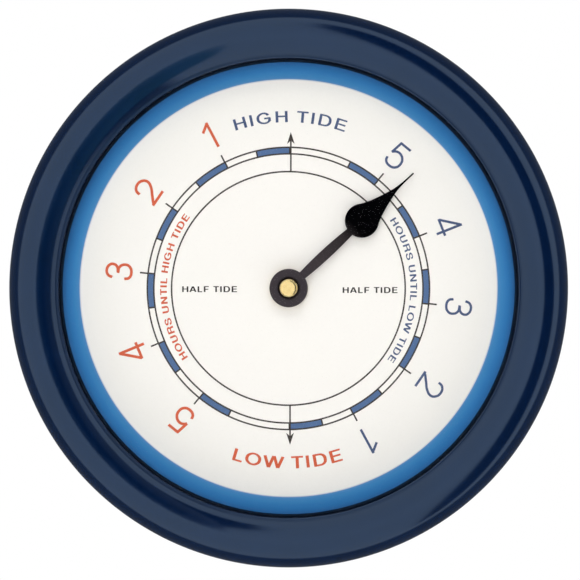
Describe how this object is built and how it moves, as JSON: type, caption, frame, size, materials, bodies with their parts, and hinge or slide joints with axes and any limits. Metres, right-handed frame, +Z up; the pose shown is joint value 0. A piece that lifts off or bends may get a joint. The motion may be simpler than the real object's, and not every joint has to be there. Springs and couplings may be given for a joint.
{
  "type": "tide clock",
  "caption": "Round wall clock for the tide: a glossy rolled case, a flat lens, a tide dial and one spade hand, with a quartz movement and keyhole hanger behind.",
  "frame": {"origin": "centre of the round hole of the hanger's keyhole, on the wall plane", "axes": "+Z up, -Y towards the room (the dial's side), +Y into the wall, +X right seen from the front"},
  "size_m": [0.2032, 0.038, 0.2032],
  "materials": {
    "navy_abs": "glossy navy moulded ABS",
    "clear_glass": "clear flat glass",
    "black_plastic": "matte black plastic",
    "printed_dial": "white printed sheet with a blue border",
    "backplate_plastic": "textured black plastic",
    "zinc_steel": "zinc-plated steel",
    "plated_plate": "zinc-plated steel sheet",
    "movement_plastic": "black moulded plastic",
    "turned_brass": "turned brass",
    "black_rubber": "black rubber",
    "steel_arbor": "turned steel",
    "black_painted_aluminium": "black enamel on aluminium",
    "pale_brass": "pale polished brass",
    "white_acetal": "white acetal",
    "knob_plastic": "black plastic",
    "ferrite_magnet": "grey sintered magnet",
    "soft_iron": "soft iron sheet",
    "bobbin_plastic": "green plastic",
    "copper_wire": "enamelled copper wire",
    "board_laminate": "green solder-masked laminate",
    "crystal_can": "drawn metal can",
    "black_resin": "black resin",
    "contact_steel": "nickel-plated spring steel",
    "cell_jacket": "plain printed steel can"
  },
  "bodies": {
    "case": {"case_ring": "navy_abs", "lens_glass": "clear_glass", "spacer_ring": "black_plastic", "dial": "printed_dial", "backplate": "backplate_plastic", "backplate_screws": "zinc_steel", "hanger_plate": "plated_plate", "hanger_screws": "zinc_steel", "movement_case": "movement_plastic", "movement_cover": "movement_plastic", "movement_screws": "zinc_steel", "threaded_bushing": "turned_brass", "rubber_washer": "black_rubber", "brass_washer": "turned_brass", "hex_nut": "turned_brass", "stator": "soft_iron", "coil_core": "soft_iron", "coil_bobbin": "bobbin_plastic", "coil_winding": "copper_wire", "stator_screws": "zinc_steel", "circuit_board": "board_laminate", "quartz_crystal": "crystal_can", "chip": "black_resin", "positive_contact": "contact_steel", "negative_contact": "contact_steel"},
    "hand": {"tide_hand": "black_painted_aluminium", "cap_nut": "pale_brass", "tide_arbor": "steel_arbor", "tide_wheel": "white_acetal"},
    "transfer": {"transfer_wheel": "white_acetal", "setting_knob": "knob_plastic"},
    "cannon": {"cannon_pinion": "turned_brass"},
    "hour": {"hour_wheel": "white_acetal"},
    "third": {"third_wheel": "white_acetal"},
    "fourth": {"fourth_wheel": "white_acetal"},
    "intermediate": {"intermediate_wheel": "white_acetal"},
    "rotor": {"rotor": "white_acetal", "rotor_magnet": "ferrite_magnet"},
    "cell": {"battery": "cell_jacket"}
  },
  "joints": [
    {"name": "tide_hand_turn", "type": "hinge", "parent": "case", "child": "hand", "pos_m": [0, -0.01, -0.082], "axis": [0, 1, 0], "continuous": true},
    {"name": "setting_knob_turn", "type": "hinge", "parent": "case", "child": "transfer", "pos_m": [-0.0102, -0.01, -0.082], "axis": [0, 1, 0], "continuous": true},
    {"name": "cannon_pinion_turn", "type": "hinge", "parent": "case", "child": "cannon", "pos_m": [-0.00699, -0.01, -0.0719], "axis": [0, 1, 0], "continuous": true},
    {"name": "rotor_turn", "type": "hinge", "parent": "case", "child": "rotor", "pos_m": [0.01001, -0.01, -0.0665], "axis": [0, 1, 0], "continuous": true},
    {"name": "intermediate_wheel_turn", "type": "hinge", "parent": "case", "child": "intermediate", "pos_m": [0.01551, -0.01, -0.07115], "axis": [0, 1, 0], "continuous": true},
    {"name": "fourth_wheel_turn", "type": "hinge", "parent": "case", "child": "fourth", "pos_m": [0.00948, -0.01, -0.07594], "axis": [0, 1, 0], "continuous": true},
    {"name": "third_wheel_turn", "type": "hinge", "parent": "case", "child": "third", "pos_m": [0.00201, -0.01, -0.0719], "axis": [0, 1, 0], "continuous": true},
    {"name": "hour_wheel_turn", "type": "hinge", "parent": "case", "child": "hour", "pos_m": [-0.00699, -0.01, -0.0719], "axis": [0, 1, 0], "continuous": true},
    {"name": "battery_out", "type": "slide", "parent": "case", "child": "cell", "axis": [0, 1, 0], "range_m": [0, 0.02]}
  ],
  "couplings": [
    {"joint": "setting_knob_turn", "follows": "tide_hand_turn", "ratio": -3.6364},
    {"joint": "cannon_pinion_turn", "follows": "tide_hand_turn", "ratio": 12.424},
    {"joint": "intermediate_wheel_turn", "follows": "rotor_turn", "ratio": -0.2},
    {"joint": "fourth_wheel_turn", "follows": "rotor_turn", "ratio": 0.033333},
    {"joint": "third_wheel_turn", "follows": "rotor_turn", "ratio": -0.0044444},
    {"joint": "hour_wheel_turn", "follows": "rotor_turn", "ratio": 0.00055556}
  ]
}
